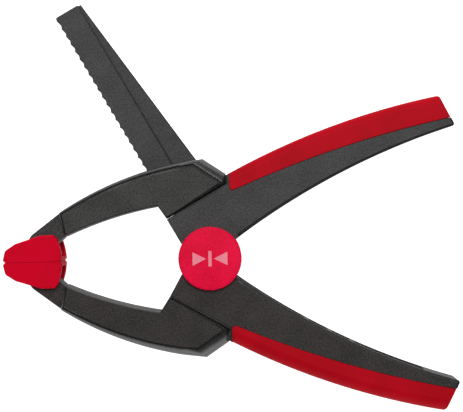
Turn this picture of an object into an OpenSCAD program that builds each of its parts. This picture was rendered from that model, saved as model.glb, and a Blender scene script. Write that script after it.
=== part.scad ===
// Spring clamp: one fixed jaw, and one jaw that slides on a toothed rail.
// The clamp lies on its rear pivot cap. X runs from the pads towards the handles,
// Y across the opening and Z along the pivot pin. All sizes are in millimetres.

/* [Arms] */
// Thickness of the arms and of the sliding jaw
body_t = 15; // [14.5:0.5:17]
// Wall left at each side of the hollow handles
wall = 2.2; // [1.8:0.2:3]
// Depth of the soft grip over the handle's core
grip_t = 2.6; // [2:0.2:3.2]
// Number of cross ribs in each hollow handle
rib_count = 3; // [1:1:5]

/* [Pivot] */
// Diameter of the steel pin
pin_d = 5; // [4:0.5:5.5]
// Radius of the round knuckles at the pivot
hub_r = 10; // [9.5:0.1:10.2]
// Diameter of the two red caps
cap_d = 21.6; // [21.4:0.2:23]
// Height of a cap above the arms
cap_t = 3; // [2.8:0.2:4]

/* [Torsion spring] */
// Diameter of the spring wire
wire_d = 2; // [1.6:0.1:2.1]
// Diameter of the coil, between wire centres
coil_d = 12; // [11.6:0.1:12.4]
// Length of each straight leg
leg_len = 36; // [30:1:37]

/* [Rail] */
// Distance from the pivot to the rail's tip
rail_len = 97.7; // [92.7:1:107.7]
// Width of the toothed strip
strip_w = 9.3; // [8.3:0.2:9.5]
// Thickness of the toothed strip
strip_t = 9; // [8:0.5:10]
// Thickness of the web behind the strip
web_t = 4; // [3:0.5:5]
// Distance between two teeth
tooth_pitch = 3; // [2.5:0.1:4]
// Depth of the hollow between two teeth
tooth_depth = 0.5; // [0.3:0.1:0.8]
// Play of the sliding jaw on the rail
rail_play = 0.25; // [0.2:0.05:0.4]

/* [Pads] */
// Thickness of a pad across its two cheeks
pad_t = 17; // [16:0.5:18]
// Thickness of the jaw's tongue between the cheeks
tongue_t = 10; // [9:0.5:10]
// Gap between the closed pads
pad_gap = 0.1; // [0.1:0.05:0.4]

/* [Hidden] */
$fn = 64;

// Shared heights, play and cutting allowance
mid_z = body_t / 2 + cap_t;
play = 0.3;
run_play = 0.05;
cut = 1;

// The rail and the seam under the sliding jaw share one tilted frame:
// across runs along the seam, along runs up the rail, both from the pivot.
rail_tilt = 29.5;
function rail_point(across, along) = [
    across * cos(rail_tilt) - along * sin(rail_tilt),
    across * sin(rail_tilt) + along * cos(rail_tilt)];
tooth_line = -3.75;
strip_end = tooth_line + strip_w;
web_foot = [15.3, 10];
gusset = [[19.7, 21.6], [18.3, 22.4], [13.8, 24.5]];
web_tip = [6.2, rail_len];
rail_foot = 14;
side_line = -5.95;
seam_top = 19.2;
seam_bottom = 18.95;

// Corners of the upper half of the outline; the lower arm is its mirror image
hub_right = [9.5, 6.7];
hub_left = rail_point(side_line, 9.4);
handle_in = [84.4, 43.5];
handle_out = [79.1, 53.9];
shoulder = [6.5, 28.6];
grip_start = [7.0, 22.4];
grip_end = [82.9, 46.2];
core_out = handle_out + grip_t * [-1.15, -1.35];
core_in = shoulder + grip_t * [1.55, -0.3];
jaw_top = [-1.9, 34];
jaw_corner = [5.8, 28.8];
jaw_end = [-51.3, 16.6];
throat_in = [-17.4, 17.9];
throat_out = [-49.5, 8.3];

// How far each long edge bows out of its chord
inner_bow = 3.5;
outer_bow = 2.9;
grip_bow = 2.2;
jaw_bow = 3.1;
throat_bow = 1.1;

// Pad hinge at the tip of each jaw
pad_pivot = [-58, 6.2];
nose_r = 4.2;
nose_back = pad_pivot + nose_r * [cos(124.5), sin(124.5)];
nose_chin = [-55.3, 3];
boss_r = 2;
boss_t = 1.6;
pad_floor = pad_pivot.y - nose_r - play;

// Pivot stack, as heights above and below the middle plane
knuckle_gap = 0.2;
outer_knuckle = body_t / 2 - 1.9;
inner_knuckle_top = outer_knuckle - knuckle_gap;
inner_knuckle = inner_knuckle_top - 1.5;
pin_head_r = 4.7;
pin_head_t = 1.2;
ring_r = 4.5;
ring_t = 0.8;
groove_depth = 0.5;
cap_recess_r = 5.2;
cap_recess_t = 1.6;
cap_edge = 0.5;
peg_r = 1.2;
peg_len = 1.5;
peg_circle = 7.7;
sleeve_r = 4.5;

// Spring: the coil climbs from the lower leg to the upper leg
leg_angle = 35;
coil_turns = 2 + (180 - 2 * leg_angle) / 360;
coil_pitch = wire_d + 0.1;
ring_step = 15;
wire_sides = 8;

// Points of a shallow arc from p to q that bows to the left of the way by bow
function arc(p, q, bow, n = 12) =
    let (chord = norm(q - p),
        r = (chord * chord / 4 + bow * bow) / (2 * abs(bow)),
        left = [p.y - q.y, q.x - p.x] / chord,
        centre = (p + q) / 2 + left * (bow - sign(bow) * r),
        start = atan2(p.y - centre.y, p.x - centre.x),
        sweep = -sign(bow) * 4 * atan(2 * abs(bow) / chord))
    [for (i = [0:n]) centre + r * [cos(start + sweep * i / n), sin(start + sweep * i / n)]];

// Points of a rounded corner at b, between the sides towards a and c
function rounded(a, b, c, r, n = 4) =
    let (to_a = (a - b) / norm(a - b),
        to_c = (c - b) / norm(c - b),
        half = acos(to_a * to_c) / 2,
        bisector = (to_a + to_c) / norm(to_a + to_c),
        centre = b + bisector * r / sin(half),
        first = b + to_a * r / tan(half) - centre,
        turn = (to_a.x * to_c.y - to_a.y * to_c.x > 0 ? -1 : 1) * (180 - 2 * half))
    [for (i = [0:n]) centre + [first.x * cos(turn * i / n) - first.y * sin(turn * i / n),
        first.x * sin(turn * i / n) + first.y * cos(turn * i / n)]];

// A flat shape as a plate between two heights from the middle plane
module plate(low, high) {
    translate([0, 0, mid_z + low])
        linear_extrude(high - low) children();
}

// The same plate above and below the middle plane
module two_plates(low, high) {
    plate(low, high) children();
    plate(-high, -low) children();
}

module slab(thickness) {
    plate(-thickness / 2, thickness / 2) children();
}

module in_rail_frame() {
    rotate([0, 0, rail_tilt]) children();
}

// Long outline of one handle, from the inner edge round the end to the shoulder
function handle_edge() =
    let (inner = arc(hub_right, handle_in, inner_bow),
        outer = arc(handle_out, shoulder, -outer_bow))
    concat([for (i = [0:11]) inner[i]],
        rounded(inner[11], handle_in, handle_out, 0.8),
        rounded(handle_in, handle_out, outer[1], 1.4),
        [for (i = [1:12]) outer[i]]);

// Outline of a jaw from the throat round the tongue's root to its top corner
function jaw_edge() = concat(
    arc(throat_in, throat_out, -throat_bow),
    arc(jaw_end, jaw_top, jaw_bow));

module upper_arm_outline() {
    polygon(concat([[0, 0]], handle_edge(),
        [rail_point(18.2, seam_bottom), rail_point(side_line, seam_bottom), hub_left]));
}

module lower_arm_outline() {
    jaw = jaw_edge();
    polygon(concat([[0, 0]], handle_edge(), [jaw_corner],
        [for (i = [len(jaw) - 1:-1:0]) jaw[i]], [hub_left]));
}

module sliding_jaw_outline() {
    polygon(concat([rail_point(side_line, seam_top)], jaw_edge(),
        [jaw_corner, rail_point(17.6, seam_top)]));
}

// The part of a handle that the soft grip covers
module grip_outline() {
    boundary = arc(grip_start, grip_end, grip_bow);
    polygon(concat(rounded([7.0, 28], grip_start, boundary[2], 1.2),
        [for (i = [1:12]) boundary[i]],
        [grip_end + [0.4, 0.1], handle_out + [6, 4], [7, 60]]));
}

// The handle's core carries on under the grip as a thinner tongue, from the shoulder on
module core_tongue_outline() {
    polygon(concat([[6.7, 23.6]], arc([10.6, 22.4], [79, 44.4], grip_bow),
        arc(core_out, core_in, -outer_bow), [[6.7, 26.6]]));
}

// Hollow of a handle, open towards the other handle; its ribs start past the spring's leg
module handle_hollow() {
    ceiling = arc([27, 27.6], [72, 41.3], 1.4, 6);
    slab(body_t - 2 * wall)
        difference() {
            polygon(concat([[-2, 8.4]], ceiling, [[74, 30], [8, -4]]));
            for (i = [0:rib_count - 1])
                translate([44 + 30 * i / rib_count, 0])
                    rotate(rail_tilt) translate([0, -10]) square([1.6, 60]);
        }
}

// Holes that take the pegs of a cap
module peg_holes(r) {
    for (turn = [0:120:240])
        rotate(turn) translate([peg_circle, 0]) circle(r = r);
}

// Tongue that carries a pad, with the round bosses that the pad turns on
module tongue() {
    slab(tongue_t) {
        translate(pad_pivot) circle(r = nose_r);
        polygon([nose_back, pad_pivot, nose_chin, throat_out, throat_out + [3, 1.2],
            jaw_end + [4, 1], jaw_end]);
    }
    slab(tongue_t + 2 * boss_t)
        translate(pad_pivot) circle(r = boss_r);
}

// Handle core: the arm's body less the soft grip, and the tongue under the grip
module handle_core() {
    slab(body_t) difference() {
        children();
        grip_outline();
    }
    slab(body_t - 2 * grip_t) core_tongue_outline();
}

module lower_arm() {
    color("#38342f") mirror([0, 1, 0]) {
        difference() {
            union() {
                handle_core() lower_arm_outline();
                slab(body_t) circle(r = hub_r);
            }
            slab(2 * outer_knuckle) circle(r = hub_r + 0.4);
            handle_hollow();
            slab(body_t + cut) circle(r = pin_d / 2 + run_play);
            slab(body_t + cut) peg_holes(peg_r + run_play);
        }
        tongue();
    }
}

module lower_grip() {
    color("#b81022") mirror([0, 1, 0]) soft_grip();
}

// Soft sleeve moulded over the outer edge of a handle's core
module soft_grip() {
    difference() {
        slab(body_t) intersection() {
            upper_arm_outline();
            grip_outline();
        }
        slab(body_t - 2 * grip_t) core_tongue_outline();
    }
}

// Toothed rail of the sliding jaw: a thick strip backed by a thin tapering web
module rail() {
    teeth = floor((rail_len - seam_top) / tooth_pitch) - 1;
    hollow_r = (tooth_pitch * tooth_pitch / 4 + tooth_depth * tooth_depth) / (2 * tooth_depth);
    in_rail_frame() {
        difference() {
            slab(strip_t)
                translate([tooth_line, rail_foot])
                    square([strip_w, rail_len - rail_foot]);
            for (i = [0:teeth])
                translate([tooth_line + tooth_depth - hollow_r, rail_len - (i + 1) * tooth_pitch])
                    slab(strip_t + cut) circle(r = hollow_r);
        }
        slab(web_t)
            polygon(concat([[strip_end, web_foot.y], web_foot, [17.8, 18.2], [18.8, 20]], gusset,
                [web_tip, [strip_end, web_tip.y]]));
    }
}

module upper_arm() {
    color("#454443") {
        difference() {
            handle_core() upper_arm_outline();
            slab(body_t + cut) circle(r = hub_r + 0.4);
            handle_hollow();
        }
        two_plates(inner_knuckle, inner_knuckle_top)
            difference() {
                union() {
                    circle(r = hub_r);
                    intersection() {
                        upper_arm_outline();
                        circle(r = hub_r + cut);
                    }
                }
                circle(r = pin_d / 2 + run_play);
            }
        rail();
    }
}

module upper_grip() {
    color("#b81022") soft_grip();
}

// Jaw with a T-shaped slot: the strip fills the wide part, the web the narrow part
module sliding_jaw() {
    color("#403f3d") {
        difference() {
            slab(body_t) sliding_jaw_outline();
            in_rail_frame() {
                slab(strip_t + 2 * rail_play)
                    translate([tooth_line - rail_play, seam_top - cut])
                        square([strip_w + 2 * rail_play, 25]);
                slab(web_t + 2 * rail_play)
                    polygon(concat([[strip_end, seam_top - cut], [22, seam_top - cut], [22, 22]],
                        [for (p = gusset) p + [play / 2, play]], [[12.6, 40], [strip_end, 40]]));
            }
        }
        tongue();
    }
}

// Swivelling pad: two cheeks and a floor around the jaw's tongue
module pad() {
    outer = [[-70.5, pad_gap / 2], [-50.3, pad_gap / 2], [-50.8, 4], [-51.7, 7.4], [-53.1, 9.1],
        [-61.1, 9.1], [-62.8, 8], [-66.9, 6.5], [-69.4, 4.5], [-70.3, 2.5]];
    difference() {
        slab(pad_t) polygon(outer);
        slab(tongue_t + 2 * play) {
            translate(pad_pivot) circle(r = nose_r + play);
            polygon([[pad_pivot.x, pad_floor], [-45, pad_floor], [-45, 14],
                [pad_pivot.x - nose_r - play, 14], [pad_pivot.x - nose_r - play, pad_pivot.y]]);
        }
        slab(tongue_t + 2 * boss_t + 2 * play)
            translate(pad_pivot) circle(r = boss_r + 0.1);
    }
}

module lower_pad() {
    color("#c80826") mirror([0, 1, 0]) pad();
}

module upper_pad() {
    color("#c80826") pad();
}

// Centre line of the spring wire: lower leg, climbing coil, upper leg
function spring_path() =
    let (r = coil_d / 2,
        climb = coil_pitch * coil_turns,
        enter = 270 - leg_angle,
        turn = 360 * coil_turns,
        steps = round(turn / ring_step),
        leg = [cos(leg_angle), sin(leg_angle)] * leg_len)
    concat(
        [[r * cos(enter) + leg.x, r * sin(enter) - leg.y, -climb / 2]],
        [for (i = [0:steps])
            let (a = enter - turn * i / steps)
            [r * cos(a), r * sin(a), -climb / 2 + climb * i / steps]],
        [[r * cos(enter - turn) + leg.x, r * sin(enter - turn) + leg.y, climb / 2]]);

function direction(path, i) =
    let (d = path[min(i + 1, len(path) - 1)] - path[max(i - 1, 0)]) d / norm(d);

// One ring of wire points around each point of the path
function wire_rings(path) = [for (i = [0:len(path) - 1])
    let (d = direction(path, i), side = cross(d, [0, 0, 1]) / norm(cross(d, [0, 0, 1])),
        up = cross(side, d))
    for (k = [0:wire_sides - 1])
        path[i] + wire_d / 2 * (side * cos(360 * k / wire_sides) + up * sin(360 * k / wire_sides))];

module torsion_spring() {
    path = spring_path();
    last = len(path) - 1;
    sides = [for (i = [0:last - 1], k = [0:wire_sides - 1])
        let (a = i * wire_sides + k, b = i * wire_sides + (k + 1) % wire_sides)
        [a, b, b + wire_sides, a + wire_sides]];
    ends = [[for (k = [wire_sides - 1:-1:0]) k],
        [for (k = [0:wire_sides - 1]) last * wire_sides + k]];
    color("#8f9296") translate([0, 0, mid_z])
        polyhedron(points = wire_rings(path), faces = concat(sides, ends));
}

// Spacer that keeps the coil centred on the pin and the knuckles apart
module spring_sleeve() {
    color("#d8d6d0") slab(2 * (inner_knuckle - 0.1))
        difference() {
            circle(r = sleeve_r);
            circle(r = pin_d / 2 + run_play);
        }
}

// Headed pin with a groove near its plain end
module pivot_pin() {
    groove_low = -body_t / 2 - ring_t;
    color("#a8abb0") difference() {
        union() {
            plate(-body_t / 2 - ring_t - 0.5, body_t / 2) circle(r = pin_d / 2);
            plate(body_t / 2, body_t / 2 + pin_head_t) circle(r = pin_head_r);
        }
        plate(groove_low, groove_low + ring_t) difference() {
            circle(r = pin_d);
            circle(r = pin_d / 2 - groove_depth);
        }
    }
}

// Open ring that snaps into the pin's groove
module retaining_ring() {
    color("#6f7277") plate(-body_t / 2 - ring_t, -body_t / 2)
        difference() {
            circle(r = ring_r);
            circle(r = pin_d / 2 - groove_depth + run_play);
            translate([0, -1.4]) square([ring_r + cut, 2.8]);
        }
}

// Round cap: a disc with a softened edge, a recess for the pin and three pegs
module cap() {
    color("#e00e36") {
        translate([0, 0, body_t / 2])
            rotate_extrude()
                polygon([[0, cap_recess_t], [cap_recess_r, cap_recess_t], [cap_recess_r, 0],
                    [cap_d / 2, 0], [cap_d / 2, cap_t - cap_edge],
                    [cap_d / 2 - cap_edge * 0.3, cap_t - cap_edge * 0.3],
                    [cap_d / 2 - cap_edge, cap_t], [0, cap_t]]);
        translate([0, 0, body_t / 2 - peg_len])
            linear_extrude(peg_len + 0.5) peg_holes(peg_r);
    }
}

module front_cap() {
    translate([0, 0, mid_z]) cap();
}

module rear_cap() {
    translate([0, 0, mid_z]) mirror([0, 0, 1]) cap();
}

lower_arm();
lower_grip();
upper_arm();
upper_grip();
sliding_jaw();
lower_pad();
upper_pad();
torsion_spring();
spring_sleeve();
pivot_pin();
retaining_ring();
front_cap();
rear_cap();
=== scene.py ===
import bmesh
import bpy
from math import acos, atan, atan2, cos, pi, radians, sin, tan
from mathutils import Matrix, Vector


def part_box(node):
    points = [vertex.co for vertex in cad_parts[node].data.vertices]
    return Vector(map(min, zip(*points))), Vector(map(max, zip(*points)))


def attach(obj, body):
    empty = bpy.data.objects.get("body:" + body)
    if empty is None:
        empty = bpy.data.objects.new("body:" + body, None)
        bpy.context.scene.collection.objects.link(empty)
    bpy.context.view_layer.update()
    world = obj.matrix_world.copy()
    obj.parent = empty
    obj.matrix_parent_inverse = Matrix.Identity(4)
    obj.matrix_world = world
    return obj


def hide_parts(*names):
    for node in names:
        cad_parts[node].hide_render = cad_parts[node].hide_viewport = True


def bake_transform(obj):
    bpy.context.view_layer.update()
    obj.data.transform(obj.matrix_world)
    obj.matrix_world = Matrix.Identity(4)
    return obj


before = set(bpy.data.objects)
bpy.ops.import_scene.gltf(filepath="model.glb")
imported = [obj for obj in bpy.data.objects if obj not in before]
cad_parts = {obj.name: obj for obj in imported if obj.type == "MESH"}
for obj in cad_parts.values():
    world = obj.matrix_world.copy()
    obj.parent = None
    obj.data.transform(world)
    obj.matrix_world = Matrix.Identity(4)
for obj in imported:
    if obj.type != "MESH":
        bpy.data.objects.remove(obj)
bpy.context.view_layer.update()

# ------------------------------------------------------------------ lower arm
# The fixed jaw, the outer knuckles and the core of the lower handle are one
# injection moulding in black glass-filled nylon, with spark-eroded faces and
# polished rims. Outlines are in millimetres from the pivot, drawn for the
# upper arm; heights are from the middle plane, which both faces mirror.
MM = 0.001
arm_low, arm_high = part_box("lower_arm")
middle = (arm_low[2] + arm_high[2]) / 2 / MM
skin = 0.03  # how far the new faces lie inside the CAD ones
face = (arm_high[2] - arm_low[2]) / 2 / MM - skin
core_face = 4.95  # half the thickness of what a grip or a pad covers

hub_radius = 9.95
hub_right = Vector((9.5, 6.75))
handle_in = Vector((84.35, 43.55))
handle_out = Vector((79.05, 53.85))
handle_bow = 3.5
grip_start = Vector((7.0, 22.4))
grip_end = Vector((82.95, 46.2))
grip_bow = 2.2
back_bow = 2.9
jaw_top = Vector((-1.9, 33.95))
jaw_corner = Vector((5.75, 28.8))
jaw_end = Vector((-51.25, 16.55))
jaw_bow = 3.1
throat_in = Vector((-17.4, 17.95))
throat_out = Vector((-49.45, 8.35))
throat_bow = 1.1
pad_pivot = Vector((-58, 6.2))
seam_lean = radians(29.5)
seam_left = -5.9  # where the seam meets the throat, across the rail


def on_rail(across, along):
    """A point of the rail's own frame: across the rail and along it."""
    return Vector((across * cos(seam_lean) - along * sin(seam_lean),
                   across * sin(seam_lean) + along * cos(seam_lean)))


hub_left = on_rail(seam_left, 9.4)


def side(start, end, rise=0.0, steps=1, edge=1.0, edge_end=None, beyond=0):
    """One side of an outline, without its end: points on a shallow arc that
    rises to the left of the way, each with the width of its rounded edge.
    It can run on for some steps beyond both ends."""
    chord = end - start
    across = Vector((-chord.y, chord.x)).normalized()
    places = []
    for step in range(-beyond, steps + beyond):
        part = step / steps
        place = start + chord * part
        if rise:
            half = 2 * atan(2 * abs(rise) / chord.length)
            radius = chord.length / 2 / sin(half)
            turn = half * (2 * part - 1)
            up = radius * (cos(turn) - cos(half)) * (1 if rise > 0 else -1)
            place = (start + end) / 2 + chord.normalized() * radius * sin(turn) + across * up
        width = edge if edge_end is None else edge + (edge_end - edge) * min(max(part, 0), 1)
        places.append((place, width))
    return places


def corner(before, at, after, radius, edge, steps=5):
    """A rounded corner of an outline, in place of the sharp point."""
    to_before = (before - at).normalized()
    to_after = (after - at).normalized()
    half = acos(max(-1, min(1, to_before.dot(to_after)))) / 2
    centre = at + (to_before + to_after).normalized() * radius / sin(half)
    first = at + to_before * radius / tan(half) - centre
    last = at + to_after * radius / tan(half) - centre
    sweep = atan2(first.x * last.y - first.y * last.x, first.dot(last))
    return [(centre + Matrix.Rotation(sweep * step / steps, 2) @ first, edge)
            for step in range(steps + 1)]


def circle(centre, radius, start=0.0, sweep=360.0, steps=32, edge=0.5):
    """An arc of an outline round a centre: it starts at an angle and sweeps
    through another, both in degrees."""
    return [(centre + radius * Vector((cos(turn), sin(turn))), edge)
            for turn in (radians(start + sweep * step / steps) for step in range(steps))]


def inset(outline, share):
    """The outline's points with each side moved in by a share of its edge."""
    places = [place for place, _ in outline]
    moved = []
    for i, here in enumerate(places):
        before, after = places[i - 1], places[(i + 1) % len(places)]
        one = (here - before).normalized()
        two = (after - here).normalized()
        in_one, in_two = Vector((-one.y, one.x)), Vector((-two.y, two.x))
        by_one = outline[i - 1][1] * share
        by_two = outline[i][1] * share
        if in_one.dot(in_two) > 0.9:
            moved.append(here + (in_one + in_two).normalized() * (by_one + by_two) / 2)
        else:
            moved.append(here + Matrix((in_one, in_two)).inverted() @ Vector((by_one, by_two)))
    return moved


def grow(bm, ring, places, heights):
    """Extrudes a closed ring of vertices and sets the new ring in its place."""
    edges = [bm.edges.get((a, b)) for a, b in zip(ring, ring[1:] + ring[:1])]
    made = set(bmesh.ops.extrude_edge_only(bm, edges=edges)["geom"])
    new = [next(v for v in (e.other_vert(old) for e in old.link_edges) if v in made)
           for old in ring]
    for vertex, place, z in zip(new, places, heights):
        vertex.co = (place.x, place.y, z)
    return new


def slab(outline, top, groove=0.0, rounds=6, fall=1.0, straight=0.0):
    """A plate with rounded rims, the same on both faces. Its outline runs
    anticlockwise. Its rims fall by a share of their width, along a quarter
    circle or a straighter line, and a groove sinks a fine line between the
    rim and the face."""
    bm = bmesh.new()
    flat = [place for place, _ in outline]
    ring = [bm.verts.new((p.x, p.y, 0)) for p in flat]
    for a, b in zip(ring, ring[1:] + ring[:1]):
        bm.edges.new((a, b))
    drops = [(outline[i - 1][1] + outline[i][1]) / 2 * fall for i in range(len(outline))]
    rim_top = top - groove * 0.5
    ring = grow(bm, ring, flat, [rim_top - drop for drop in drops])
    for step in range(1, rounds + 1):
        turn = pi / 2 * step / rounds
        inward = 1 - cos(turn)
        upward = sin(turn) * (1 - straight) + inward * straight
        ring = grow(bm, ring, inset(outline, inward),
                    [rim_top - drop * (1 - upward) for drop in drops])
    if groove:
        # The groove is whole beside a wide edge and almost gone beside a narrow one.
        shares = [max(0.06, min(1, (width - 0.35) * 1.2)) for _, width in outline]
        profile = ((0.3, 1.0), (0.55, 1.0), (0.8, 0.09), (1.0, 0))
        for part, depth in profile:
            wider = [(place, width + groove * part * share)
                     for (place, width), share in zip(outline, shares)]
            ring = grow(bm, ring, inset(wider, 1), [
                top - groove * (0.5 + (depth - 0.5) * max(shares[i - 1], shares[i])) * (depth > 0)
                for i in range(len(ring))])
    bm.faces.new(ring)
    bmesh.ops.mirror(bm, geom=bm.verts[:] + bm.edges[:] + bm.faces[:],
                     axis="Z", merge_dist=0.001)
    bmesh.ops.recalc_face_normals(bm, faces=bm.faces)
    if bm.calc_volume(signed=True) < 0:
        bmesh.ops.reverse_faces(bm, faces=bm.faces)
    return bm


def as_piece(name, bm, flip=False):
    """A mesh object in the frame's metres, from a mesh in millimetres."""
    if flip:
        bmesh.ops.scale(bm, verts=bm.verts, vec=(1, -1, 1))
        bmesh.ops.reverse_faces(bm, faces=bm.faces)
    bmesh.ops.translate(bm, verts=bm.verts, vec=(0, 0, middle))
    bmesh.ops.scale(bm, verts=bm.verts, vec=(MM, MM, MM))
    mesh = bpy.data.meshes.new(name)
    bm.to_mesh(mesh)
    bm.free()
    piece = bpy.data.objects.new(name, mesh)
    bpy.context.scene.collection.objects.link(piece)
    return piece


def combine(piece, other, way):
    """Cuts, joins or limits a piece with another one, which is used up."""
    tool = piece.modifiers.new(way, "BOOLEAN")
    tool.operation = way
    tool.solver = "EXACT"
    tool.object = other
    graph = bpy.context.evaluated_depsgraph_get()
    mesh = bpy.data.meshes.new_from_object(piece.evaluated_get(graph))
    piece.modifiers.clear()
    piece.data = mesh
    bpy.data.objects.remove(other)


def moulding(name, node, blanks, flip=False):
    """A new piece: rounded blanks joined, then kept only where the CAD node
    is solid, which gives it that node's hollows, bores and slots."""
    piece = as_piece(name, blanks[0], flip)
    for blank in blanks[1:]:
        combine(piece, as_piece("blank", blank, flip), "UNION")
    bm = bmesh.new()
    bm.from_mesh(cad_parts[node].data)
    bmesh.ops.remove_doubles(bm, verts=bm.verts, dist=1e-6)
    mesh = bpy.data.meshes.new("solid")
    bm.to_mesh(mesh)
    bm.free()
    solid = bpy.data.objects.new("solid", mesh)
    bpy.context.scene.collection.objects.link(solid)
    combine(piece, solid, "INTERSECT")
    return piece


def dress(piece, faces, rims=None, limit=30):
    """Smooth faces with hard edges where two meet sharply. Level faces and
    walls take one finish, and rims another."""
    piece.data.materials.clear()
    piece.data.materials.append(faces)
    if rims:
        piece.data.materials.append(rims)
    bm = bmesh.new()
    bm.from_mesh(piece.data)
    bmesh.ops.remove_doubles(bm, verts=bm.verts, dist=2e-7)
    bmesh.ops.dissolve_degenerate(bm, edges=bm.edges, dist=1e-7)
    steep, level = 0.3, 0.985
    for polygon in bm.faces:
        polygon.smooth = True
        sloped = steep < abs(polygon.normal.z) < level
        polygon.material_index = 1 if rims and sloped else 0
    for edge in bm.edges:
        finishes = {polygon.material_index for polygon in edge.link_faces}
        edge.smooth = len(finishes) == 1 and edge.calc_face_angle(pi) < radians(limit)
    bm.to_mesh(piece.data)
    bm.free()
    weigh = piece.modifiers.new("face weighted normals", "WEIGHTED_NORMAL")
    weigh.keep_sharp = True


def fit(piece, body, slot, *nodes):
    """Puts a piece on its body, in place of its CAD nodes."""
    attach(piece, body)
    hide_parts(*nodes)


class Wire:
    """A socket in a material, so that sums of sockets read as sums."""

    def __init__(self, finish, socket):
        self.finish, self.socket = finish, socket

    def maths(self, operation, one, two):
        return self.finish.node("ShaderNodeMath", {"operation": operation}, {0: one, 1: two})

    def __add__(self, other):
        return self.maths("ADD", self, other)

    def __radd__(self, other):
        return self.maths("ADD", other, self)

    def __mul__(self, other):
        return self.maths("MULTIPLY", self, other)

    def __rmul__(self, other):
        return self.maths("MULTIPLY", other, self)


class Finish:
    """A material with one surface shader and a method that adds any node."""

    def __init__(self, name, **sockets):
        self.material = bpy.data.materials.new(name)
        self.material.use_nodes = True
        self.tree = self.material.node_tree
        self.surface = self.tree.nodes["Principled BSDF"]
        self.set(**sockets)

    def plug(self, socket, value):
        if isinstance(value, Wire):
            self.tree.links.new(value.socket, socket)
        else:
            socket.default_value = value

    def node(self, kind, settings, sockets, out=0):
        added = self.tree.nodes.new(kind)
        for key, value in settings.items():
            setattr(added, key, value)
        for key, value in sockets.items():
            self.plug(added.inputs[key], value)
        return Wire(self, added.outputs[out])

    def place(self):
        return self.node("ShaderNodeTexCoord", {}, {}, "Object")

    def noise(self, size, detail=2, roughness=0.5):
        """Noise whose blobs are about size millimetres across."""
        return self.node("ShaderNodeTexNoise", {}, {
            "Vector": self.place(), "Scale": 1 / (size * MM), "Detail": detail,
            "Roughness": roughness})

    def between(self, value, low, high):
        """A value's place from low to high, as a number from 0 to 1."""
        return self.node("ShaderNodeMapRange", {"interpolation_type": "SMOOTHSTEP"}, {
            "Value": value, "From Min": low, "From Max": high})

    def blend(self, factor, one, two):
        """Runs from colour one to colour two as factor goes from 0 to 1."""
        mixed = self.tree.nodes.new("ShaderNodeMix")
        mixed.data_type = "RGBA"
        for index, value in zip((0, 6, 7), (factor, one, two)):
            self.plug(mixed.inputs[index], value)
        return Wire(self, mixed.outputs[2])

    def bump(self, height, depth):
        """Height from 0 to 1 as relief, depth millimetres from low to high."""
        self.plug(self.surface.inputs["Normal"], self.node(
            "ShaderNodeBump", {}, {"Height": height, "Distance": depth * MM}))

    def set(self, **sockets):
        """Sets the shader's sockets, each named in lower case."""
        for words, value in sockets.items():
            name = words.replace("_", " ").title().replace("Ior", "IOR")
            self.plug(self.surface.inputs[name], value)


def spark_eroded(name, colour, tint, roughness):
    """Plastic out of a spark-eroded mould: a fine, even, matt grain."""
    finish = Finish(name, specular_ior_level=0.25)
    grain = finish.noise(0.6, detail=3, roughness=0.75)
    cloud = finish.noise(7, detail=2)
    mottle = finish.between(grain * 0.8 + cloud * 0.2, 0.36, 0.64)
    finish.set(base_color=finish.blend(mottle, colour, tint),
               roughness=roughness + mottle * 0.1)
    finish.bump(grain, 0.03)
    return finish.material


def polished(name, colour, tint, roughness):
    """The same plastic where the mould was polished: darker and smoother,
    with faint flow marks from the glass fibre."""
    finish = Finish(name, specular_ior_level=0.9)
    flow = finish.noise(1.6, detail=3, roughness=0.6)
    finish.set(base_color=finish.blend(flow, colour, tint), roughness=roughness + flow * 0.12)
    finish.bump(flow, 0.012)
    return finish.material


# The lower arm's nylon takes a darker base than the upper arm's, though both are the same nylon:
# painted shade, for the lower arm lying further from the light.
lower_face_painted_shade = spark_eroded("lower_nylon_face_painted_shade", (0.006, 0.005, 0.0046, 1),
                          (0.042, 0.036, 0.034, 1), roughness=0.62)
nylon_rim = polished("nylon_rim", (0.006, 0.0057, 0.0055, 1), (0.012, 0.0115, 0.011, 1),
                     roughness=0.24)


def handle_core(seam, soft_left, soft_right):
    """Hub, shoulder and handle core, up to the seam under the jaw and out
    to the soft grip, which starts in a rounded corner."""
    crisp, sharp = 0.3, 0.04
    seam_right = 17.75
    seam_in, seam_out = on_rail(seam_left, seam), on_rail(seam_right, seam)
    inner = side(hub_right, handle_in, handle_bow, 30, edge=1.15, edge_end=0.8)
    top = grip_end + Vector((0.1, -0.05))
    boundary = side(top, grip_start + Vector((0, -0.05)), -grip_bow, 30, sharp)
    start_top = Vector((6.995, 28.78))
    root = corner(boundary[-2][0], grip_start + Vector((-0.02, -0.05)), start_top,
                  radius=1.2, edge=sharp)
    return slab(inner
                + corner(inner[-1][0], handle_in, top, radius=0.75, edge=0.7)
                + boundary[:-1] + root
                + [(start_top, 0.05), (Vector((6.53, 28.6)), 0.08)]
                + side(seam_out, seam_in, edge=soft_right, edge_end=soft_left, steps=8)
                + side(seam_in, hub_left, edge=crisp) + [(hub_left, crisp)]
                + circle(Vector((0, 0)), hub_radius, 156, 236, 32, crisp),
                face, fall=0.5, straight=0.8)


def under_grip():
    """The thinner tongue of the core, which the soft grip is moulded over."""
    crisp = 0.2
    return slab([(Vector((6.4, 23.2)), crisp)]
                + side(Vector((9.5, 20)), Vector((79.5, 44)), grip_bow, 8, crisp)
                + [(Vector((82, 45)), crisp)]
                + side(Vector((78, 54.5)), Vector((9, 31)), -back_bow, 8, crisp)
                + [(Vector((9, 31)), crisp), (Vector((6.4, 27)), crisp)], core_face)


def offset_crossing(one, two, three, four, width, other_width):
    """Where two lines meet after each has moved to the left by its width."""
    way, other_way = (two - one).normalized(), (four - three).normalized()
    normal, other_normal = Vector((-way.y, way.x)), Vector((-other_way.y, other_way.x))
    return Matrix((normal, other_normal)).inverted() @ Vector(
        (one.dot(normal) + width, three.dot(other_normal) + other_width))


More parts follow.
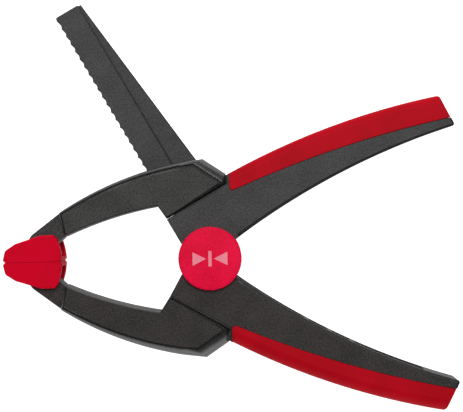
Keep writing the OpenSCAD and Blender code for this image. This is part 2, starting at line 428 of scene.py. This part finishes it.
def jaw_block(seam, soft_left, soft_right, root, tip, heel, groove, straight):
    """The jaw: a flat cheek that a fine groove parts from a steep back. The
    back's width runs from the root to the tip, and the heel is over the hub.
    The short side under the heel is wide enough to keep a length of its own."""
    seam_right = 17.6
    start, end = on_rail(seam_left, seam), on_rail(seam_right, seam)
    meeting = offset_crossing(start, end, jaw_corner, jaw_top, soft_right, heel)
    upright = (jaw_corner - end).normalized()
    short = (meeting - end).dot(Vector((-upright.y, upright.x))) * 1.4
    back = side(jaw_top, jaw_end, -jaw_bow, 36, root, tip)
    inside_heel = 5  # the back's points up to here would lie under the heel's slope
    return slab(side(start, end, edge=soft_left, edge_end=soft_right, steps=4)
                + side(end, jaw_corner, edge=short)
                + side(jaw_corner, jaw_top, edge=heel)
                + back[:1] + back[inside_heel:]
                + side(jaw_end, throat_out, edge=0.6)
                + side(throat_out, throat_in, throat_bow, 24, 0.45)
                + side(throat_in, start, edge=0.35),
                face, groove=groove, rounds=8, straight=straight)


def tongue_blocks():
    """The thin tip that carries a pad: a round nose and the bosses that the
    pad turns on."""
    soft = 0.5
    nose_radius, boss_radius, boss_face = 4.15, 2.4, 6.55
    root, shoulder = Vector((-46, 10)), Vector((-47, 18.05))
    tip = slab(circle(pad_pivot, nose_radius, 124.5, 188, 20, soft)
               + side(throat_out + Vector((-0.1, 0.1)), root, edge=soft)
               + side(root, shoulder, edge=soft)
               + side(shoulder, jaw_end, edge=soft)
               + [(jaw_end + Vector((0.03, -0.06)), soft)], core_face)
    return [tip, slab(circle(pad_pivot, boss_radius, edge=0.2), boss_face)]


def seam_bridge():
    """Fills the fixed jaw's seam, and the corner beside the grip, to well
    below the face."""
    sunk = 1.6
    corners = [on_rail(-5.7, 16), on_rail(17.5, 16), Vector((6.9, 25)), Vector((6.9, 28.4)),
               Vector((5.2, 28.4)), on_rail(15, 20.5), on_rail(-5.7, 20.5)]
    return slab([(place, 0.1) for place in corners], face - sunk)


lower_core = handle_core(seam=17.75, soft_left=0.45, soft_right=0.6)
fixed_jaw = jaw_block(seam=18.2, soft_left=0.4, soft_right=0.8, root=2.5, tip=0.95, heel=4.1,
                      groove=0.8, straight=0.4)
lower_arm = moulding("lower_arm_moulding", "lower_arm",
                     [lower_core, fixed_jaw, seam_bridge(), under_grip()] + tongue_blocks(),
                     flip=True)
dress(lower_arm, lower_face_painted_shade, nylon_rim)
fit(lower_arm, "fixed_arm", "black_plastic", "lower_arm")

# ------------------------------------------------------------------ upper arm
# The upper arm is the second nylon moulding: its inner knuckles sit between
# the lower arm's, and a toothed rail with a thin web behind it stands up
# from the shoulder to carry the sliding jaw.
rail_end = 97.6
tooth_pitch = 3.0
tooth_count = 26


def toothed_strip():
    """The thick strip of the rail, with a row of shallow round hollows."""
    strip_face, tooth_edge, tip_radius = 4.47, 0.14, 0.9
    right, left, foot = 5.5, -3.72, 15
    foot_right, foot_left = on_rail(right, foot), on_rail(left, foot)
    end_right, end_left = on_rail(right, rail_end), on_rail(left, rail_end)
    hollow = ((0, 0), (0.2, 0.32), (0.4, 0.48), (0.6, 0.48), (0.8, 0.32))
    outline = [(foot_right, 0.75)]
    outline += corner(foot_right, end_right, end_left, tip_radius, 0.35)
    outline += corner(end_right, end_left, foot_left, tip_radius, tooth_edge)
    for tooth in range(tooth_count):
        tip = rail_end + 0.1 - tooth_pitch / 2 - tooth * tooth_pitch
        for part, sink in hollow:
            outline.append((on_rail(left + sink, tip - part * tooth_pitch), tooth_edge))
    outline.append((foot_left, tooth_edge))
    return slab(outline, strip_face, rounds=3, fall=0.6, straight=0.8)


def rail_web():
    """The thin plate that stiffens the strip, widest at the shoulder."""
    web_face = 1.97
    corners = [(5, 12, 0.1), (15.2, 12, 0.1), (17.75, 18.2, 0.1), (18.78, 20.1, 0.1),
               (19.67, 21.6, 0.1), (18.25, 22.3, 0.1), (13.75, 24.4, 0.35),
               (6.15, rail_end, 0.35), (5, rail_end, 0.1)]
    return slab([(on_rail(across, along), edge) for across, along, edge in corners], web_face,
                rounds=3, fall=0.6, straight=0.8)


# The upper arm's nylon takes a lighter base than the lower arm's: the lit copy of the same nylon,
# with painted light for its place nearer the light.
upper_face = spark_eroded("upper_nylon_face", (0.018, 0.018, 0.018, 1),
                          (0.060, 0.060, 0.060, 1), roughness=0.6)
upper_core = handle_core(seam=18.945, soft_left=0.3, soft_right=0.9)
upper_arm = moulding("upper_arm_moulding", "upper_arm",
                     [upper_core, under_grip(), toothed_strip(), rail_web()])
dress(upper_arm, upper_face, nylon_rim)
fit(upper_arm, "moving_arm", "black_plastic", "upper_arm")

# ---------------------------------------------------------------- sliding jaw
# The upper jaw is a separate nylon moulding with a slot through it for the
# rail. It slides when it is level and bites on the teeth when it is loaded.
jaw_face = spark_eroded("jaw_nylon_face", (0.010, 0.0097, 0.0094, 1),
                        (0.054, 0.053, 0.051, 1), roughness=0.6)
jaw_body = jaw_block(seam=19.205, soft_left=0.4, soft_right=0.9, root=1.2, tip=0.75, heel=3.1,
                     groove=1.2, straight=0.35)
sliding_jaw = moulding("sliding_jaw_moulding", "sliding_jaw", [jaw_body] + tongue_blocks())
dress(sliding_jaw, jaw_face, nylon_rim)
fit(sliding_jaw, "jaw", "black_plastic", "sliding_jaw")

# ---------------------------------------------------------------- soft grips
# Each handle has a red soft grip, moulded over the outer edge of its core.
# Its back is rounded for the palm, and its inner edge lies flush in the core.


def satin_rubber(name, deep, light, roughness, gloss=0.3):
    """Soft thermoplastic rubber, with a faint orange peel."""
    finish = Finish(name, specular_ior_level=gloss)
    peel = finish.noise(0.5, detail=2)
    cloud = finish.noise(11, detail=2)
    finish.set(base_color=finish.blend(finish.between(cloud, 0.3, 0.7), deep, light),
               roughness=roughness + peel * 0.1)
    finish.bump(peel, 0.012)
    return finish.material


grip_rubber = satin_rubber("grip_rubber", (0.37, 0.001, 0.007, 1), (0.43, 0.001, 0.009, 1),
                           roughness=0.5, gloss=0.05)


def grip_plan():
    """The grip's outline, with a small edge all round."""
    start_top = Vector((7.005, 28.95))
    start = grip_start + Vector((0.005, 0.06))
    end = grip_end + Vector((-0.08, 0.06))
    boundary = side(start, end, grip_bow, 30, edge=0.18)
    outer = side(handle_out, start_top, -back_bow, 30, edge=0.25)
    return slab(corner(start_top, start, boundary[2][0], radius=1.2, edge=0.3) + boundary[2:]
                + [(end, 0.6)] + corner(end, handle_out, outer[1][0], radius=1.5, edge=0.6)
                + outer[1:] + [(start_top, 0.35)], face)


def grip_back(width):
    """The rounded back of the grip, which runs past both of its ends. It
    stands a hair above the plan, so that only its rounding cuts."""
    hair = 0.02
    return slab(side(grip_start, grip_end, grip_bow, 30, edge=0.3, beyond=2)
                + side(handle_out, Vector((6.9, 28.85)), -back_bow, 30, edge=width, beyond=2),
                face + hair, rounds=10, fall=0.8)


for name, body, flip, width in (("upper_grip", "moving_arm", False, 2.8),
                                ("lower_grip", "fixed_arm", True, 4.6)):
    grip = as_piece(name + "_rubber", grip_plan(), flip)
    combine(grip, as_piece("back", grip_back(width), flip), "INTERSECT")
    shaped = bmesh.new()
    shaped.from_mesh(grip.data)
    # A moulding starts in millimetres from the middle plane, so the grip goes back there.
    bmesh.ops.scale(shaped, verts=shaped.verts, vec=(1 / MM, 1 / MM, 1 / MM))
    bmesh.ops.translate(shaped, verts=shaped.verts, vec=(0, 0, -middle))
    bpy.data.objects.remove(grip)
    grip = moulding(name + "_rubber", name, [shaped])
    dress(grip, grip_rubber)
    fit(grip, body, "red_grip", name)

# ----------------------------------------------------------------------- pads
# A soft red pad swivels on the tip of each jaw. Two cheeks and a floor wrap
# the jaw's tongue, and the pads meet on a flat face with a nick at each end.
pad_face = 8.47


def soft_pad():
    """The pad's outline as one plate, flat on the side that meets the work."""
    rim = 0.6
    tip, heel = Vector((-70.42, 0.75)), Vector((-50.42, 0.75))
    nick_at_tip, nick_at_heel = Vector((-69.75, 0.03)), Vector((-51.0, 0.03))
    shoulder, brow = Vector((-52.3, 8.95)), Vector((-53.1, 9.05))
    crown, slope = Vector((-57.6, 9.0)), Vector((-61.6, 7.95))
    right = side(heel, Vector((-51.72, 7.4)), -0.25, 6, edge=0.7)
    top = side(brow, crown, steps=4, edge=0.7)
    return slab([(nick_at_tip, 0.02), (nick_at_heel, 0.25)] + right
                + corner(right[-1][0], shoulder, top[1][0], radius=0.9, edge=rim)
                + top[1:]
                + corner(brow, crown, slope, radius=3, edge=rim)
                + corner(slope, Vector((-66.2, 6.3)), Vector((-69.4, 4.3)), radius=3, edge=rim)
                + corner(Vector((-66.9, 6.0)), Vector((-69.7, 4.0)), tip, radius=1.6, edge=rim)
                + [(tip, 0.25)], pad_face)


pad_rubber = satin_rubber("pad_rubber", (0.52, 0.001, 0.015, 1), (0.58, 0.001, 0.018, 1),
                          roughness=0.6, gloss=0.03)
for name, body, flip in (("upper_pad", "jaw_pad", False), ("lower_pad", "fixed_pad", True)):
    pad = moulding(name + "_rubber", name, [soft_pad()], flip)
    dress(pad, pad_rubber)
    fit(pad, body, "red_pad", name)

# ----------------------------------------------------------------- pivot caps
# A crimson cap hides each end of the pin. It is moulded with a fine grain,
# pressed in by three pegs, and the front one has a printed clamping symbol:
# two arrowheads that press on a bar.
cap_radius = 10.75
cap_skin = 0.04
cap_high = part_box("front_cap")[1]
cap_top = cap_high[2] / MM - middle - cap_skin
cap_crown = 0.12
mark_proud = 0.02
mark_depth = 0.5


def cap_blank():
    """A solid of revolution: a slightly crowned face and a rounded edge."""
    bm = bmesh.new()
    edge = 0.7
    rim = cap_top - cap_crown - edge
    profile = [(0, cap_top), (4, cap_top - cap_crown * 0.15), (7.5, cap_top - cap_crown * 0.55)]
    profile += [(cap_radius - edge * (1 - sin(radians(turn))), rim + edge * cos(radians(turn)))
                for turn in range(0, 91, 15)]
    profile += [(cap_radius, 0), (0, 0)]
    points = [bm.verts.new((x, 0, z)) for x, z in profile]
    line = [bm.edges.new(pair) for pair in zip(points, points[1:])]
    bmesh.ops.spin(bm, geom=points + line, cent=(0, 0, 0), axis=(0, 0, 1), angle=2 * pi,
                   steps=96, use_merge=True)
    bmesh.ops.remove_doubles(bm, verts=bm.verts, dist=0.001)
    bmesh.ops.recalc_face_normals(bm, faces=bm.faces)
    return bm


def cap_mark():
    """The printed symbol: two arrowheads that press on a bar."""
    blanks = []
    for outline in ([(-0.55, -2.6), (0.55, -2.6), (0.55, 2.6), (-0.55, 2.6)],
                    [(1.35, 0), (5.9, -2.3), (5.9, 2.3)],
                    [(-1.35, 0), (-5.9, 2.3), (-5.9, -2.3)]):
        bm = bmesh.new()
        foot = bm.faces.new([bm.verts.new((x, y, cap_top - mark_depth)) for x, y in outline])
        raised = bmesh.ops.extrude_face_region(bm, geom=[foot])["geom"]
        bmesh.ops.translate(bm, verts=[v for v in raised if isinstance(v, bmesh.types.BMVert)],
                            vec=(0, 0, mark_depth + mark_proud))
        bmesh.ops.recalc_face_normals(bm, faces=bm.faces)
        blanks.append(bm)
    return blanks


def grained_cap(name):
    """Crimson plastic with a fine moulded grain."""
    finish = Finish(name, specular_ior_level=0.05)
    grain = finish.noise(0.6, detail=3, roughness=0.75)
    cloud = finish.noise(8, detail=1)
    shade = finish.blend(finish.between(grain * 0.7 + cloud * 0.3, 0.38, 0.62),
                         (0.62, 0.0005, 0.028, 1), (0.80, 0.003, 0.052, 1))
    finish.set(base_color=shade, roughness=0.38 + grain * 0.15)
    finish.bump(grain, 0.03)
    return finish.material


cap_plastic = grained_cap("cap_plastic")
mark_print = satin_rubber("mark_print", (0.72, 0.16, 0.22, 1), (0.80, 0.24, 0.30, 1),
                          roughness=0.45)
front_cap = moulding("front_cap_moulding", "front_cap", [cap_blank()] + cap_mark())
dress(front_cap, cap_plastic)
front_cap.data.materials.append(mark_print)
for polygon in front_cap.data.polygons:
    if polygon.center.z > (middle + cap_top + mark_proud / 2) * MM:
        polygon.material_index = 1
fit(front_cap, "fixed_arm", "red_cap", "front_cap")

blank = cap_blank()
bmesh.ops.rotate(blank, verts=blank.verts, cent=(0, 0, 0), matrix=Matrix.Rotation(pi, 3, "X"))
rear_cap = moulding("rear_cap_moulding", "rear_cap", [blank])
dress(rear_cap, cap_plastic)
fit(rear_cap, "fixed_arm", "red_cap", "rear_cap")

# ------------------------------------------------------- pin, ring and sleeve
# A zinc-plated pin with a flat head runs through the knuckles. A spring ring
# snaps into its groove at the back, and an acetal sleeve centres the coil.


def metal(name, colour, tint, roughness):
    """Bright steel with fine turning marks."""
    finish = Finish(name, metallic=1.0)
    marks = finish.noise(0.8, detail=4, roughness=0.7)
    finish.set(base_color=finish.blend(marks, colour, tint), roughness=roughness + marks * 0.15)
    finish.bump(marks, 0.008)
    return finish.material


zinc = metal("zinc_plate", (0.55, 0.55, 0.58, 1), (0.68, 0.67, 0.66, 1), roughness=0.25)
spring_steel = metal("spring_steel", (0.30, 0.30, 0.32, 1), (0.46, 0.45, 0.44, 1),
                     roughness=0.3)
acetal = satin_rubber("acetal", (0.68, 0.66, 0.60, 1), (0.74, 0.72, 0.66, 1), roughness=0.35)
for node, material in (("pivot_pin", zinc), ("retaining_ring", spring_steel),
                       ("spring_sleeve", acetal)):
    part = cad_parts[node]
    part.data.materials.clear()
    part.data.materials.append(material)

# ------------------------------------------------------------- torsion spring
# Drawn wire wound round the sleeve. The lower leg rests in the fixed handle
# and the upper leg in the moving one, so the coil winds up in between.
wire_radius = 0.99
coil_radius = 6.0
leg_angle = 35
leg_length = 36
coil_pitch = 2.1
coil_turns = 2
coil_sweep = 360 * coil_turns + 180 - 2 * leg_angle
coil_climb = coil_pitch * coil_sweep / 360
coil_steps = 110
enter = radians(270 - leg_angle)

bm = bmesh.new()
start = Vector((cos(enter), sin(enter), 0)) * coil_radius - Vector((0, 0, coil_climb / 2))
wire = bmesh.ops.create_circle(bm, cap_ends=False, segments=16, radius=wire_radius)["verts"]
bmesh.ops.rotate(bm, verts=wire, cent=(0, 0, 0), matrix=Matrix.Rotation(pi / 2, 3, "X"))
bmesh.ops.rotate(bm, verts=wire, cent=(0, 0, 0), matrix=Matrix.Rotation(enter, 3, "Z"))
bmesh.ops.translate(bm, verts=wire, vec=start)
first_ring = bm.edges[:]
coil = bmesh.ops.spin(bm, geom=first_ring, cent=(0, 0, 0), axis=(0, 0, 1),
                      angle=-radians(coil_sweep), steps=coil_steps,
                      dvec=(0, 0, coil_climb / coil_steps))["geom_last"]
last_ring = [part for part in coil if isinstance(part, bmesh.types.BMEdge)]
for ring, lean in ((first_ring, -1), (last_ring, 1)):
    leg = bmesh.ops.extrude_edge_only(bm, edges=ring)["geom"]
    tip = [part for part in leg if isinstance(part, bmesh.types.BMVert)]
    along = Vector((cos(radians(leg_angle)), lean * sin(radians(leg_angle)), 0))
    bmesh.ops.translate(bm, verts=tip, vec=along * leg_length)
    bmesh.ops.contextual_create(bm, geom=[e for e in leg if isinstance(e, bmesh.types.BMEdge)
                                          and all(v in tip for v in e.verts)])
bmesh.ops.recalc_face_normals(bm, faces=bm.faces)
spring = as_piece("spring_wire", bm)
dress(spring, spring_steel, limit=50)
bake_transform(spring)
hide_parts("torsion_spring")

# ------------------------------------------------------------ studio and view
# A pale table under the clamp, softboxes above it and low on its far and
# near sides, and a camera that looks straight down on the clamp.
table = bpy.data.objects.new("table", bpy.data.meshes.new("table"))
bm = bmesh.new()
bmesh.ops.create_grid(bm, x_segments=1, y_segments=1, size=3)
bm.to_mesh(table.data)
bm.free()
bpy.context.scene.collection.objects.link(table)
pale = Finish("pale_table", base_color=(0.3, 0.3, 0.3, 1), roughness=0.9,
              specular_ior_level=0.0, emission_color=(1, 1, 1, 1), emission_strength=1.2)
table.data.materials.append(pale.material)

world = bpy.data.worlds.new("studio")
bpy.context.scene.world = world
world.use_nodes = True
backdrop = world.node_tree.nodes["Background"]
backdrop.inputs["Color"].default_value = (1, 1, 1, 1)
backdrop.inputs["Strength"].default_value = 0.08

object_centre = Vector((0.01, 0.02, 0))
for name, place, width, height, power in (
        ("overhead_softbox", (0.02, 0.27, 0.87), 0.4, 0.4, 6.6),
        ("far_softbox", (0.02, 0.55, 0.16), 1.0, 0.25, 1.5),
        ("near_softbox", (0.02, -0.55, 0.16), 1.0, 0.25, 1.6)):
    light = bpy.data.lights.new(name, "AREA")
    light.shape = "RECTANGLE"
    light.size, light.size_y, light.energy = width, height, power
    lamp = bpy.data.objects.new(name, light)
    lamp.location = place
    aim = object_centre - Vector(place)
    lamp.rotation_euler = aim.to_track_quat("-Z", "Y").to_euler()
    bpy.context.scene.collection.objects.link(lamp)

camera = bpy.data.objects.new("camera", bpy.data.cameras.new("camera"))
camera.data.lens = 109.8
camera.data.clip_start = 0.01
camera.location = (0.00766, 0.01765, 0.498)
camera.rotation_euler = (0, 0, radians(-1.25))
bpy.context.scene.collection.objects.link(camera)
bpy.context.scene.camera = camera
bpy.context.scene.view_settings.view_transform = "Standard"
